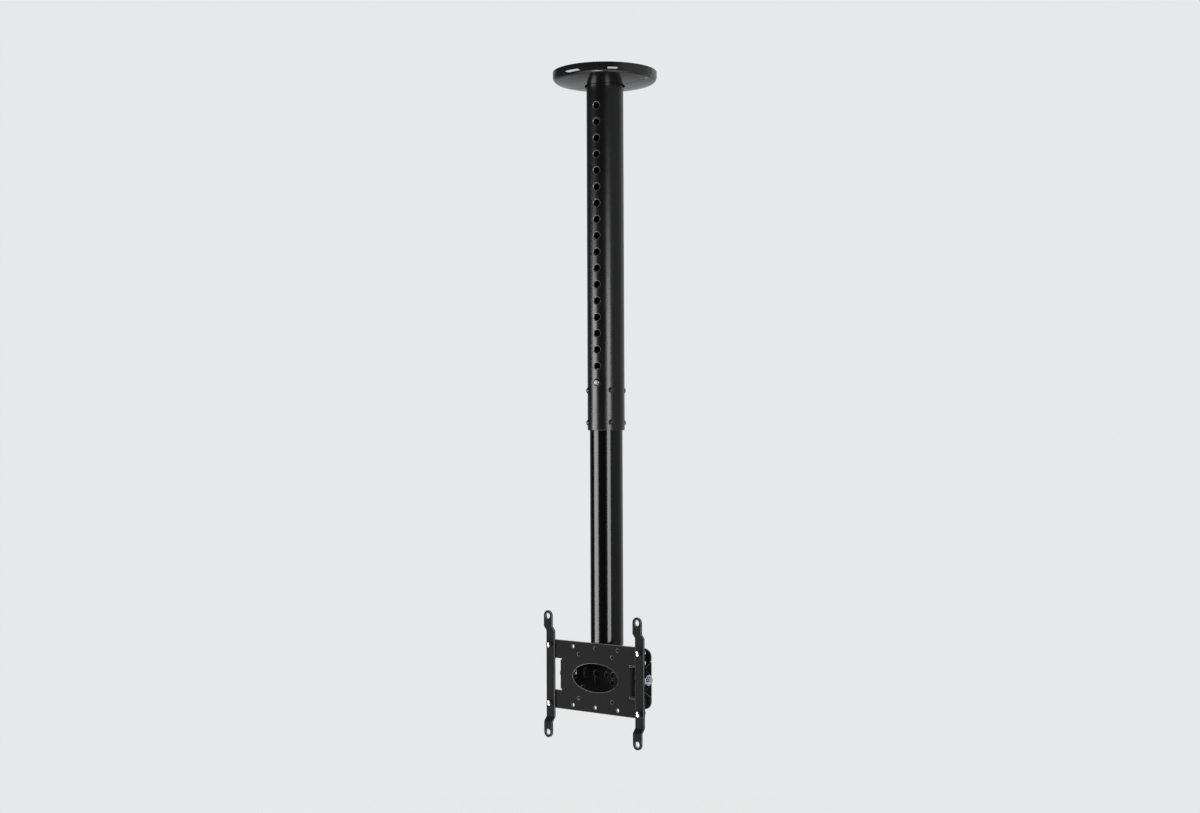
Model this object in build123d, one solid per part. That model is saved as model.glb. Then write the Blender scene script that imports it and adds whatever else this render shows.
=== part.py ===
from build123d import *
import os
from math import cos, radians, sin

# Telescopic ceiling mount for a flat screen, in millimetres.
# The origin is on the pole's axis at the ceiling, +Z is up and the screen plate faces -Y.

# Ceiling plate, a steel disc with a welded spigot that enters the outer tube
ceiling_disc_radius = 87.0
ceiling_disc_thickness = 4.0
fixing_circle_diameter = 130.0
fixing_hole_diameter = 8.5
fixing_hole_count = 4
spigot_length = 19.0
spigot_wall = 4.0
spigot_clearance = 0.1

# Ceiling cover, a moulded dish in two halves that push over the rim of the disc
cover_wall = 2.2
cover_fit = 0.3
cover_straight_side = 7.8
cover_shoulder_radius = 9.0
cover_rim_slope = 15.0
cover_hole_slope = 1.0
cover_tube_gap = 3.1
cover_seam_gap = 1.0
cover_seam_edge = 0.6
tongue_thickness = 1.6
tongue_fit = 0.2
tongue_reach = 9.0
tongue_inner_radius = 46.0
tongue_width = 10.0

# Outer tube with its row of adjusting holes
outer_tube_diameter = 63.5
outer_tube_wall = 3.0
outer_tube_length = 610.5
adjusting_hole_diameter = 12.0
adjusting_hole_count = 18
first_hole_drop = 57.25
last_hole_rise = 81.5
adjusting_hole_edge = 1.2
tube_end_chamfer = 0.5
hole_row_angle = 12.0

# Button-head screws: eight that clamp the inner tube, four that hold the spigot
screw_diameter = 6.0
screw_fit = 0.05
screw_head_diameter = 10.5
screw_head_height = 3.3
screw_head_rim = 0.7
screw_crown_share = 0.5
screw_socket_across = 4.0
screw_socket_depth = 2.0
screw_row_angle = 45.0
screws_per_ring = 4
upper_clamp_rise = 68.0
lower_clamp_rise = 13.0
clamp_tip_gap = 0.05
spigot_screw_drop = 9.0

# Inner tube
slide_clearance = 0.75
inner_tube_wall = 2.0
inner_tube_overlap = 24.0
inner_tube_hang = 448.0

# Snap button and its V spring
button_diameter = 11.0
button_fit = 0.2
button_stand_out = 2.8
button_dome = 2.6
button_flange_diameter = 15.0
button_flange_thickness = 1.5
wall_seat_gap = 0.15
spring_thickness = 1.0
spring_width = 10.0
spring_pad_length = 16.0
spring_drop = 62.0
spring_bend_radius = 6.0

# Swivel between the inner tube and the yoke
plug_thickness = 16.0
plug_fit = 0.05
swivel_bolt_diameter = 12.0
swivel_head_across = 19.0
swivel_head_height = 7.5
swivel_bolt_stand_out = 2.0
swivel_bore_clearance = 0.1
bearing_diameter = 34.0
bearing_thickness = 2.0
swivel_washer_diameter = 22.0
swivel_washer_thickness = 2.5

# Head layout: the depth is counted back from the front of the screen plate
pole_depth = 31.5
pivot_depth = 18.5

# Tilt yoke, one folded sheet
yoke_sheet = 3.0
yoke_width = 172.0
yoke_height = 102.0
yoke_corner_radius = 14.0
yoke_back_depth = 46.0
yoke_bend_radius = 1.5
yoke_tab_inset = 2.0
yoke_relief = 0.8
cheek_root_height = 59.0
cheek_nose_radius = 11.0
flange_width = 100.0
flange_front_depth = 12.0
flange_corner_radius = 14.0
back_slot_spacing = 124.0
back_slot_length = 16.0
back_slot_width = 8.0
keyhole_spacing = 78.0
keyhole_head = 10.5
keyhole_slot = 5.5
keyhole_drop = 13.0
back_hole_spacing = 28.0
back_hole_diameter = 9.5
back_hole_drop = 13.0
corner_hole_spacing = 138.0
corner_hole_rise = 27.0
corner_hole_diameter = 8.0
stiffener_sheet = 2.0
stiffener_width = 148.0
stiffener_height = 56.0
stiffener_drop = 8.0
stiffener_corner_radius = 8.0

# Tilt hardware
pivot_bolt_diameter = 8.0
pivot_bore_clearance = 0.1
pivot_head_across = 13.0
pivot_head_height = 5.3
pivot_nut_height = 6.5
lock_radius = 18.8
lock_bolt_diameter = 6.0
lock_bore_clearance = 0.2
lock_slot_clearance = 0.3
lock_slot_half_angle = 38.0
lock_head_across = 10.0
lock_head_height = 4.2
lock_nut_height = 5.0
lock_washer_diameter = 18.0
lock_washer_thickness = 1.6
friction_washer_thickness = 1.0
friction_washer_diameter = 20.0
lock_spacer_diameter = 11.0
bolt_end_stand_out = 1.5

# Screen plate, one folded sheet with two ears
plate_sheet = 2.5
plate_side_margin = 8.0
plate_height = 118.0
plate_corner_radius = 5.0
plate_bend_radius = 3.0
ear_half_height = 25.0
ear_relief = 2.0
window_width = 102.0
window_height = 48.0
screen_hole_diameter = 5.5
small_screen_spacing = 75.0
screen_spacing = 100.0

# Adapter arms, joggled flat bars for the wide screen pattern
arm_sheet = 3.0
arm_width = 19.0
wide_screen_spacing = 200.0
wide_hole_diameter = 9.5
joggle_height = 6.4
joggle_start = 74.0
joggle_end = 82.0
joggle_bend_radius = 2.0
arm_screw_diameter = 6.0
arm_screw_fit = 0.25
arm_head_diameter = 9.0
arm_head_height = 7.0
arm_head_edge = 1.2
arm_recess_length = 5.2
arm_recess_width = 1.2
arm_recess_depth = 1.8
arm_nut_across = 10.0
arm_nut_height = 5.0

# How far a cutting shape reaches past what it cuts
cut_margin = 1.0

# Places that follow from the sizes above
outer_radius = outer_tube_diameter / 2
outer_bore = outer_radius - outer_tube_wall
outer_top = -ceiling_disc_thickness
outer_bottom = outer_top - outer_tube_length
inner_radius = outer_bore - slide_clearance
inner_bore = inner_radius - inner_tube_wall
adjusting_hole_row = outer_tube_length - last_hole_rise - first_hole_drop
adjusting_hole_pitch = adjusting_hole_row / (adjusting_hole_count - 1)
button_z = outer_bottom + last_hole_rise
inner_top = button_z + inner_tube_overlap
inner_bottom = button_z - inner_tube_hang
spigot_screw_z = outer_top - spigot_screw_drop
upper_clamp_z = outer_bottom + upper_clamp_rise
lower_clamp_z = outer_bottom + lower_clamp_rise
flange_top = inner_bottom - bearing_thickness
flange_bottom = flange_top - yoke_sheet
screen_z = flange_top - yoke_height / 2
cheek_outside = yoke_width / 2
cheek_inside = cheek_outside - yoke_sheet
ear_outside = cheek_inside - friction_washer_thickness
ear_inside = ear_outside - plate_sheet
yoke_back = yoke_back_depth + yoke_sheet
wide_reach = wide_screen_spacing / 2
plate_width = wide_screen_spacing + 2 * plate_side_margin
head_place = Pos(0, -pole_depth, screen_z)


def disc(radius, low, high):
    """Solid cylinder on the pole's axis between two heights."""
    return Pos(0, 0, low) * Cylinder(radius, high - low, align=(Align.CENTER, Align.CENTER, Align.MIN))


def ring(outside, inside, low, high):
    """Round tube on the pole's axis between two heights."""
    return disc(outside, low, high) - disc(inside, low - cut_margin, high + cut_margin)


def hexagon(across, low, high):
    """Six-sided prism on the local axis between two heights."""
    return extrude(Pos(0, 0, low) * RegularPolygon(across / 2, 6, major_radius=False), high - low)


def pole_side(turn, height):
    """Plane on the pole's axis whose normal points outwards, turned from the front."""
    angle = radians(turn + hole_row_angle)
    return Plane(origin=(0, 0, height), x_dir=(0, 0, 1), z_dir=(sin(angle), -cos(angle), 0))


def screw_turns():
    """Directions of one ring of button-head screws, counted from the hole row."""
    return [screw_row_angle + step * 360 / screws_per_ring for step in range(screws_per_ring)]


def both_sides(piece):
    """A piece of the head and its mirror image on the other side."""
    return [piece, mirror(piece, about=Plane.YZ)]


def sheet_at(depth, thickness, outline):
    """Upright sheet in head coordinates whose front face lies at a depth."""
    return extrude(Plane.XZ.offset(-depth - thickness) * outline, thickness)


def across_head(outline, near, far):
    """Prism along X of an outline drawn in depth and height."""
    return extrude(Plane.YZ.offset(near) * outline, far - near)


def folded_angle(start, corner, end, sheet, bend):
    """Section of a sheet folded through a right angle: out to the corner, then back to the end."""
    outside = FilletPolyline((start, corner[1]), corner, (corner[0], end), radius=bend + sheet)
    inner_corner = (corner[0] - sheet, corner[1] - sheet)
    inside = FilletPolyline(
        (start, inner_corner[1]), inner_corner, (inner_corner[0], end), radius=bend
    )
    ends = [Line(outside @ 0, inside @ 0), Line(outside @ 1, inside @ 1)]
    return make_face(outside.edges() + inside.edges() + ends)


def save(name, *solids):
    """Write one node, a single piece or a group of like pieces."""
    node = solids[0] if len(solids) == 1 else Compound(children=list(solids))
    export_step(node, os.path.join("parts", name + ".step"))


def ceiling_plate():
    """Steel disc against the ceiling with the welded spigot below it."""
    spigot_radius = outer_bore - spigot_clearance
    plate = disc(ceiling_disc_radius, outer_top, 0)
    plate += ring(spigot_radius, spigot_radius - spigot_wall, outer_top - spigot_length, outer_top)
    fixings = PolarLocations(fixing_circle_diameter / 2, fixing_hole_count, start_angle=45)
    plate -= fixings * Cylinder(fixing_hole_diameter / 2, 4 * ceiling_disc_thickness)
    tapped = Cylinder(
        screw_diameter / 2, outer_radius, align=(Align.CENTER, Align.CENTER, Align.MIN)
    )
    return plate - [pole_side(turn, spigot_screw_z) * tapped for turn in screw_turns()]


def cover_curve(inset):
    """Section of the dish from the ceiling to the tube hole, moved in from the outer face."""
    rim = ceiling_disc_radius + cover_fit + cover_wall - inset
    side = Line((rim, 0), (rim, -cover_straight_side))
    shoulder = JernArc(side @ 1, side % 1, cover_shoulder_radius - inset, cover_rim_slope - 90)
    run = (shoulder @ 1).X - outer_radius - cover_tube_gap
    crown_radius = run / (sin(radians(cover_rim_slope)) - sin(radians(cover_hole_slope)))
    crown = JernArc(shoulder @ 1, shoulder % 1, crown_radius, cover_hole_slope - cover_rim_slope)
    return [side, shoulder, crown]


def cover_section(near, far):
    """Closed section of the dish wall between two insets."""
    outer = cover_curve(near)
    inner = cover_curve(far)
    ends = [Line(outer[0] @ 0, inner[0] @ 0), Line(outer[-1] @ 1, inner[-1] @ 1)]
    return Plane.XZ * make_face(outer + inner + ends)


def seam_edges(half):
    """Edges of a cover half that run along the seam on its outer face."""
    outline = [Plane.XZ * line for line in cover_curve(0)]
    near = (cover_seam_gap - cover_seam_edge) / 2
    far = (cover_seam_gap + cover_seam_edge) / 2
    found = []
    for edge in half.edges().filter_by_position(Axis.Y, near, far):
        middle = edge @ 0.5
        spot = Vertex(abs(middle.X), 0, middle.Z)
        if min(line.distance_to(spot) for line in outline) < cover_wall / 4:
            found.append(edge)
    return found


def cover_half():
    """Rear half of the cover, with a tongue that laps behind the other half at one end."""
    half = revolve(cover_section(0, cover_wall), Axis.Z, 180)
    half -= Box(4 * ceiling_disc_radius, cover_seam_gap, 4 * ceiling_disc_radius)
    half = chamfer(seam_edges(half), cover_seam_edge)
    reach = Pos(tongue_inner_radius, 0, 0) * Box(
        tongue_width,
        2 * tongue_reach,
        4 * ceiling_disc_radius,
        align=(Align.MIN, Align.CENTER, Align.CENTER),
    )
    other_half = Pos(0, cover_seam_gap / 2, 0) * Box(
        4 * ceiling_disc_radius,
        4 * ceiling_disc_radius,
        4 * ceiling_disc_radius,
        align=(Align.CENTER, Align.MAX, Align.CENTER),
    )
    lap = cover_wall + tongue_fit
    rooted = revolve(cover_section(cover_wall / 2, lap + tongue_thickness), Axis.Z, 360) & reach
    tongue = rooted - (revolve(cover_section(0, lap), Axis.Z, 360) & other_half)
    return half + tongue


def hole_rims(tube):
    """Outer edges of the holes in the wall of the outer tube."""
    plain = (GeomType.LINE, GeomType.CIRCLE)
    curved = [edge for edge in tube.edges() if edge.geom_type not in plain]
    mid_wall = (outer_radius + outer_bore) / 2
    return [edge for edge in curved if Vector((edge @ 0).X, (edge @ 0).Y).length > mid_wall]


def outer_tube():
    """Perforated tube that hangs from the spigot."""
    tube = ring(outer_radius, outer_bore, outer_bottom, outer_top)
    tube = chamfer(tube.edges().filter_by(GeomType.CIRCLE), tube_end_chamfer)
    reach = (Align.CENTER, Align.CENTER, Align.MIN)
    adjusting = Cylinder(adjusting_hole_diameter / 2, 2 * outer_radius, align=reach)
    tapped = Cylinder(screw_diameter / 2, 2 * outer_radius, align=reach)
    row = [button_z + step * adjusting_hole_pitch for step in range(adjusting_hole_count)]
    tube -= [pole_side(0, height) * adjusting for height in row]
    tube = chamfer(hole_rims(tube), adjusting_hole_edge)
    for height in (spigot_screw_z, upper_clamp_z, lower_clamp_z):
        tube -= [pole_side(turn, height) * tapped for turn in screw_turns()]
    return tube


def button_head_screw(length):
    """Domed screw with a hex socket; its head sits on the plane, its shank goes below it."""
    rim = screw_head_diameter / 2
    flat = rim * screw_crown_share
    middle = (rim + flat) / 2
    bulge = (screw_head_height + screw_head_rim) / 2 + screw_head_rim
    crown = ThreePointArc((rim, screw_head_rim), (middle, bulge), (flat, screw_head_height))
    sides = Polyline(
        (flat, screw_head_height), (0, screw_head_height), (0, 0), (rim, 0), (rim, screw_head_rim)
    )
    head = revolve(Plane.XZ * make_face([crown] + sides.edges()), Axis.Z)
    socket = hexagon(screw_socket_across, screw_head_height - screw_socket_depth, screw_head_height)
    return head - socket + disc(screw_diameter / 2 - screw_fit, -length, 0)


def ring_of_screws(height, length):
    """One ring of button-head screws on the outside of the outer tube."""
    screw = Pos(0, 0, outer_radius) * button_head_screw(length)
    return [pole_side(turn, height) * screw for turn in screw_turns()]


def inner_tube():
    """Sliding tube with the hole for the snap button."""
    tube = ring(inner_radius, inner_bore, inner_bottom, inner_top)
    tube = chamfer(tube.edges().filter_by(GeomType.CIRCLE), tube_end_chamfer)
    hole = Cylinder(
        button_diameter / 2 + button_fit,
        2 * inner_radius,
        align=(Align.CENTER, Align.CENTER, Align.MIN),
    )
    return tube - pole_side(0, button_z) * hole


def wall_seat(width):
    """How far from the axis a flat of a given width can lie inside the inner tube."""
    return (inner_bore**2 - (width / 2) ** 2) ** 0.5 - wall_seat_gap


def snap_button():
    """Domed button with an inner flange that stops it against the tube wall."""
    seat = wall_seat(button_flange_diameter)
    tip = outer_radius + button_stand_out
    button = disc(button_diameter / 2, seat, tip)
    button = fillet(button.edges().group_by(Axis.Z)[-1], button_dome)
    button += disc(button_flange_diameter / 2, seat - button_flange_thickness, seat)
    return pole_side(0, button_z) * button


def button_spring():
    """V clip: one leg carries the button, the other bears on the far wall of the inner tube."""
    half = spring_thickness / 2
    front = wall_seat(button_flange_diameter) - button_flange_thickness - half
    rear = -wall_seat(spring_width) + half
    pad = spring_pad_length / 2
    path = FilletPolyline(
        (pad, 0, front),
        (-pad, 0, front),
        (-pad - spring_drop, 0, 0),
        (-pad, 0, rear),
        (pad, 0, rear),
        radius=spring_bend_radius,
    )
    section = Plane(origin=path @ 0, x_dir=(0, 1, 0), z_dir=path % 0)
    strip = sweep(section * Rectangle(spring_width, spring_thickness), path)
    return pole_side(0, button_z) * strip


def swivel_plug():
    """Turned plug in the lower end of the inner tube, tapped for the swivel bolt."""
    return ring(
        inner_bore - plug_fit,
        swivel_bolt_diameter / 2,
        inner_bottom,
        inner_bottom + plug_thickness,
    )


def swivel_bolt():
    """Hexagon bolt that passes up through the flange into the plug."""
    seat = flange_bottom - swivel_washer_thickness
    top = inner_bottom + plug_thickness + swivel_bolt_stand_out
    shank = disc(swivel_bolt_diameter / 2 - screw_fit, seat, top)
    return shank + hexagon(swivel_head_across, seat - swivel_head_height, seat)


def swivel_bearing():
    """Nylon washer between the tube's end and the flange."""
    bore = swivel_bolt_diameter / 2 + swivel_bore_clearance
    return ring(bearing_diameter / 2, bore, flange_top, inner_bottom)


def swivel_washer():
    """Steel washer between the flange and the bolt's head."""
    bore = swivel_bolt_diameter / 2 + swivel_bore_clearance
    return ring(swivel_washer_diameter / 2, bore, flange_bottom - swivel_washer_thickness, flange_bottom)


def lock_slot():
    """Arc slot about the tilt pivot that the lock bolt slides in, in depth and height."""
    line = CenterArc((pivot_depth, 0), lock_radius, -lock_slot_half_angle, 2 * lock_slot_half_angle)
    return SlotArc(line, lock_bolt_diameter + 2 * lock_slot_clearance)


def keyhole():
    """Keyhole with its narrow slot downwards."""
    slot = Pos(0, -keyhole_drop / 2) * Rectangle(keyhole_slot, keyhole_drop)
    return Circle(keyhole_head / 2) + slot + Pos(0, -keyhole_drop) * Circle(keyhole_slot / 2)


def back_plate_holes():
    """Pattern of slots and holes in the back of the yoke."""
    holes = Pos(0, 0) * Circle(back_hole_diameter / 2)
    holes += Pos(0, -back_hole_drop) * Circle(back_hole_diameter / 2)
    for side in (-0.5, 0.5):
        slot = SlotOverall(back_slot_length, back_slot_width, rotation=90)
        holes += Pos(side * back_slot_spacing, 0) * slot
        holes += Pos(side * keyhole_spacing, 0) * keyhole()
        holes += Pos(side * back_hole_spacing, 0) * Circle(back_hole_diameter / 2)
        for rise in (-corner_hole_rise, corner_hole_rise):
            holes += Pos(side * corner_hole_spacing, rise) * Circle(corner_hole_diameter / 2)
    return holes


def cheek():
    """Side of the yoke, folded forwards and tapered to a round nose at the pivot."""
    bend = yoke_sheet + yoke_bend_radius
    nose_front = pivot_depth - cheek_nose_radius
    section = folded_angle(
        0, (cheek_outside, yoke_back), nose_front, yoke_sheet, yoke_bend_radius
    )
    fold = extrude(Pos(0, 0, -cheek_root_height / 2) * section, cheek_root_height)
    root = Pos(yoke_back - bend / 2, 0) * Rectangle(bend, cheek_root_height)
    nose = Pos(pivot_depth, 0) * Circle(cheek_nose_radius)
    outline = make_hull(root.edges() + nose.edges())
    return fold & across_head(outline, cheek_outside - bend, cheek_outside)


def top_flange():
    """Top of the yoke, folded forwards under the pole."""
    top = yoke_height / 2
    bend = yoke_sheet + yoke_bend_radius
    section = folded_angle(
        flange_front_depth, (yoke_back, top), top - 2 * bend, yoke_sheet, yoke_bend_radius
    )
    fold = across_head(section, -flange_width / 2, flange_width / 2)
    depth = yoke_back - flange_front_depth
    corners = Pos(0, flange_front_depth + depth) * RectangleRounded(
        flange_width, 2 * depth, flange_corner_radius
    )
    return fold & extrude(Pos(0, 0, -top) * corners, 2 * top)


def tilt_yoke():
    """Back plate, cheeks and top flange, one folded sheet, with a stiffener welded behind it."""
    bend = yoke_sheet + yoke_bend_radius
    back = RectangleRounded(yoke_width - 2 * yoke_tab_inset, yoke_height, yoke_corner_radius)
    side_gap = Rectangle(bend, cheek_root_height + 2 * yoke_relief)
    for side in (-1, 1):
        back -= Pos(side * (cheek_outside - bend / 2), 0) * side_gap
    back -= Pos(0, yoke_height / 2 - bend / 2) * Rectangle(flange_width + 2 * yoke_relief, bend)
    yoke = sheet_at(yoke_back_depth, yoke_sheet, back - back_plate_holes())
    stiffener = RectangleRounded(stiffener_width, stiffener_height, stiffener_corner_radius)
    yoke += sheet_at(yoke_back, stiffener_sheet, Pos(0, -stiffener_drop) * stiffener)
    for side in both_sides(cheek()):
        yoke += side
    yoke += top_flange()
    pivot = Pos(pivot_depth, 0) * Circle(pivot_bolt_diameter / 2 + pivot_bore_clearance)
    yoke -= across_head(pivot + lock_slot(), -yoke_width, yoke_width)
    yoke = head_place * yoke
    bore = swivel_bolt_diameter / 2 + swivel_bore_clearance
    return yoke - disc(bore, flange_bottom - cut_margin, flange_top + cut_margin)


def screen_plate():
    """Screen plate with its window, screen holes and two ears folded back."""
    bend = plate_sheet + plate_bend_radius
    ear_height = 2 * ear_half_height
    notch_width = plate_width / 2 - ear_outside + bend
    outline = RectangleRounded(plate_width, plate_height, plate_corner_radius)
    outline -= Ellipse(window_width / 2, window_height / 2)
    notch = Rectangle(notch_width, ear_height + 2 * ear_relief)
    for side in (-1, 1):
        outline -= Pos(side * (ear_outside - bend + notch_width / 2), 0) * notch
        outline -= Pos(0, side * screen_spacing / 2) * Circle(screen_hole_diameter / 2)
    for pattern in (small_screen_spacing, screen_spacing):
        outline -= GridLocations(pattern, pattern, 2, 2) * Circle(screen_hole_diameter / 2)
    bolt_holes = GridLocations(wide_screen_spacing, screen_spacing, 2, 2)
    outline -= bolt_holes * Circle(arm_screw_diameter / 2 + arm_screw_fit)
    plate = sheet_at(0, plate_sheet, outline)
    for side in both_sides(ear()):
        plate += side
    pivot = Pos(pivot_depth, 0) * Circle(pivot_bolt_diameter / 2 + pivot_bore_clearance)
    lock = Pos(pivot_depth + lock_radius, 0) * Circle(lock_bolt_diameter / 2 + lock_bore_clearance)
    return head_place * (plate - across_head(pivot + lock, -plate_width, plate_width))


def ear():
    """Ear of the screen plate, folded back and rounded about the pivot."""
    bend = plate_sheet + plate_bend_radius
    ear_back = pivot_depth + ear_half_height
    ear_height = 2 * ear_half_height
    section = folded_angle(0, (ear_outside, 0), -ear_back, plate_sheet, plate_bend_radius)
    fold = extrude(Pos(0, 0, -ear_half_height) * mirror(section, about=Plane.XZ), ear_height)
    outline = Pos(pivot_depth / 2, 0) * Rectangle(pivot_depth, ear_height)
    outline += Pos(pivot_depth, 0) * Circle(ear_half_height)
    return fold & across_head(outline, ear_outside - bend, ear_outside)


def adapter_arm(side):
    """Flat bar on the front of the screen plate, joggled forwards at both ends."""
    reach = wide_reach + arm_width / 2
    front = -arm_sheet - joggle_height

    def edge(depth):
        half = [(depth, 0), (depth, joggle_start), (depth - joggle_height, joggle_end)]
        half.append((depth - joggle_height, reach))
        return half

    section = make_face(Polyline(*edge(0), *reversed(edge(-arm_sheet)), close=True))
    low = joggle_start - cut_margin
    high = joggle_end + cut_margin
    corners = section.vertices().filter_by_position(Axis.Y, low, high)
    section = fillet(corners, joggle_bend_radius)
    half = across_head(section, -arm_width / 2, arm_width / 2)
    bar = half + mirror(half, about=Plane.XY)
    outline = SlotOverall(2 * reach, arm_width, rotation=90)
    outline -= GridLocations(0, wide_screen_spacing, 1, 2) * Circle(wide_hole_diameter / 2)
    screws = GridLocations(0, screen_spacing, 1, 2)
    outline -= screws * Circle(arm_screw_diameter / 2 + arm_screw_fit)
    bar = bar & sheet_at(front, -front, outline)
    return head_place * Pos(side * wide_reach, 0, 0) * bar


def arm_places(depth):
    """Places of the four arm fasteners at a depth, looking out of the front."""
    places = GridLocations(wide_screen_spacing, screen_spacing, 2, 2)
    return [head_place * Plane.XZ.offset(-depth).location * place for place in places]


def arm_screw():
    """Pan-head screw with a cross recess, head up from the plane."""
    head = disc(arm_head_diameter / 2, 0, arm_head_height)
    head = fillet(head.edges().group_by(Axis.Z)[-1], arm_head_edge)
    bar = Box(arm_recess_length, arm_recess_width, 2 * arm_recess_depth)
    cross = Pos(0, 0, arm_head_height) * (bar + Rot(0, 0, 90) * bar)
    grip = arm_sheet + plate_sheet + arm_nut_height
    return head - cross + disc(arm_screw_diameter / 2, -grip - bolt_end_stand_out, 0)


def hex_nut(across, height, bore):
    """Plain nut above the plane."""
    return hexagon(across, 0, height) - disc(bore, -cut_margin, height + cut_margin)


def hex_bolt(across, head_height, diameter, length):
    """Hexagon bolt, head up from the plane and shank below it."""
    return hexagon(across, 0, head_height) + disc(diameter / 2, -length, 0)


def washer(diameter, bore_diameter, thickness):
    """Flat washer above the plane."""
    return ring(diameter / 2, bore_diameter / 2, 0, thickness)


def beside_head(piece, across, depth):
    """A fastener on both sides of the head, its axis along X and pointing outwards."""
    side = Plane(origin=(across, depth, 0), x_dir=(0, 0, 1), z_dir=(1, 0, 0))
    return [head_place * copy for copy in both_sides(side * piece)]


def save_pole():
    """Write the ceiling parts, both tubes and what holds them."""
    grip = outer_tube_wall + slide_clearance - clamp_tip_gap
    pole_turn = Rot(0, 0, hole_row_angle)
    save("ceiling_plate", ceiling_plate())
    save("cover_rear", pole_turn * cover_half())
    save("cover_front", pole_turn * Rot(0, 0, 180) * cover_half())
    save("outer_tube", outer_tube())
    save("spigot_screws", *ring_of_screws(spigot_screw_z, outer_tube_wall + spigot_clearance + spigot_wall))
    clamps = ring_of_screws(upper_clamp_z, grip) + ring_of_screws(lower_clamp_z, grip)
    save("clamp_screws", *clamps)
    save("inner_tube", inner_tube())
    save("snap_button", snap_button())
    save("button_spring", button_spring())
    save("swivel_plug", swivel_plug())
    save("swivel_bolt", swivel_bolt())
    save("swivel_bearing", swivel_bearing())
    save("swivel_washer", swivel_washer())


def save_head():
    """Write the yoke, the screen plate, the arms and their fasteners."""
    lock_depth = pivot_depth + lock_radius
    clamp_stack = cheek_outside - ear_inside
    pivot_length = clamp_stack + pivot_nut_height + bolt_end_stand_out
    lock_length = clamp_stack + lock_washer_thickness + lock_nut_height + bolt_end_stand_out
    pivot_bolt = hex_bolt(pivot_head_across, pivot_head_height, pivot_bolt_diameter, pivot_length)
    lock_bolt = hex_bolt(lock_head_across, lock_head_height, lock_bolt_diameter, lock_length)
    pivot_nut = hex_nut(pivot_head_across, pivot_nut_height, pivot_bolt_diameter / 2 + screw_fit)
    lock_nut = hex_nut(lock_head_across, lock_nut_height, lock_bolt_diameter / 2 + screw_fit)
    pivot_bore = pivot_bolt_diameter + 2 * pivot_bore_clearance
    lock_bore = lock_bolt_diameter + 2 * lock_bore_clearance
    friction = washer(friction_washer_diameter, pivot_bore, friction_washer_thickness)
    spacer = washer(lock_spacer_diameter, lock_bore, friction_washer_thickness)
    penny = washer(lock_washer_diameter, lock_bore, lock_washer_thickness)
    save("tilt_yoke", tilt_yoke())
    save("pivot_bolts", *beside_head(pivot_bolt, cheek_outside, pivot_depth))
    save("pivot_nuts", *beside_head(pivot_nut, ear_inside - pivot_nut_height, pivot_depth))
    save("friction_washers", *beside_head(friction, ear_outside, pivot_depth))
    save("screen_plate", screen_plate())
    save("lock_bolts", *beside_head(lock_bolt, cheek_outside + lock_washer_thickness, lock_depth))
    save("lock_washers", *beside_head(penny, cheek_outside, lock_depth))
    save("lock_spacers", *beside_head(spacer, ear_outside, lock_depth))
    save("lock_nuts", *beside_head(lock_nut, ear_inside - lock_nut_height, lock_depth))
    save("left_arm", adapter_arm(-1))
    save("right_arm", adapter_arm(1))
    save("arm_screws", *[place * arm_screw() for place in arm_places(-arm_sheet)])
    nut = hex_nut(arm_nut_across, arm_nut_height, arm_screw_diameter / 2 + screw_fit)
    save("arm_nuts", *[place * nut for place in arm_places(plate_sheet + arm_nut_height)])


os.makedirs("parts", exist_ok=True)
save_pole()
save_head()
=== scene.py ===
from math import cos, degrees, pi, radians, sin, sqrt

import bmesh
import bpy
from mathutils import Matrix, Quaternion, Vector


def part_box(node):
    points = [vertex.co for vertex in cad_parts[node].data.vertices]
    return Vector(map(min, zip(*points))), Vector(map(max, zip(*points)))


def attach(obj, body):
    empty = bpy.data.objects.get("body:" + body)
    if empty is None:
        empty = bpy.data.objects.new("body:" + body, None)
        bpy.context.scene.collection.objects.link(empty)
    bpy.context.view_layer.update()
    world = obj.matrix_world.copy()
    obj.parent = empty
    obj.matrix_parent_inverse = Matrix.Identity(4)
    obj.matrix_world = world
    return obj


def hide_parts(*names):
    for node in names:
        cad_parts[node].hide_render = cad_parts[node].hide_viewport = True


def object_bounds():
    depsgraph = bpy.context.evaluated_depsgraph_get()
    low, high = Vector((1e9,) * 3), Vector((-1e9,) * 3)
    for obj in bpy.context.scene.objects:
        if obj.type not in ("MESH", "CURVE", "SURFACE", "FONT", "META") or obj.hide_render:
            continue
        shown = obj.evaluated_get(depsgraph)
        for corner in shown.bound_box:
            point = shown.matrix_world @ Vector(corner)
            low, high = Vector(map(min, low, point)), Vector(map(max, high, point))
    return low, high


bl_info = {
    "name": "Ceiling mount dresser",
    "version": (1, 0, 0),
    "blender": (4, 5, 0),
    "location": "View3D > Sidebar > Mount",
    "description": "Dresses the telescopic ceiling mount with finishes, fasteners and a studio",
    "category": "Object",
}

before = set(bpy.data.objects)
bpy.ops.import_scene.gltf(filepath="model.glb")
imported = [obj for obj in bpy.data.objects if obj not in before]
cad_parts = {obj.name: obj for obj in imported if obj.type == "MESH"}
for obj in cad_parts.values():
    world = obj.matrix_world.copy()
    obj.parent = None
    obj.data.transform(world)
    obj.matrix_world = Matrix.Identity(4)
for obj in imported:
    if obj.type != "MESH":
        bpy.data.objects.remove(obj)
cad_low, cad_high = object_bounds()

# Meshes: lengths in metres, areas in square metres
MERGE = 1e-6
SHARP_ANGLE = radians(35.0)
FLAT_ANGLE = radians(0.5)
JOIN_ANGLE = radians(0.2)
SMALL_FLAT = 5e-5
RING_PER_ROUNDING = 1.5
BEVEL_STEPS = 2

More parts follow.
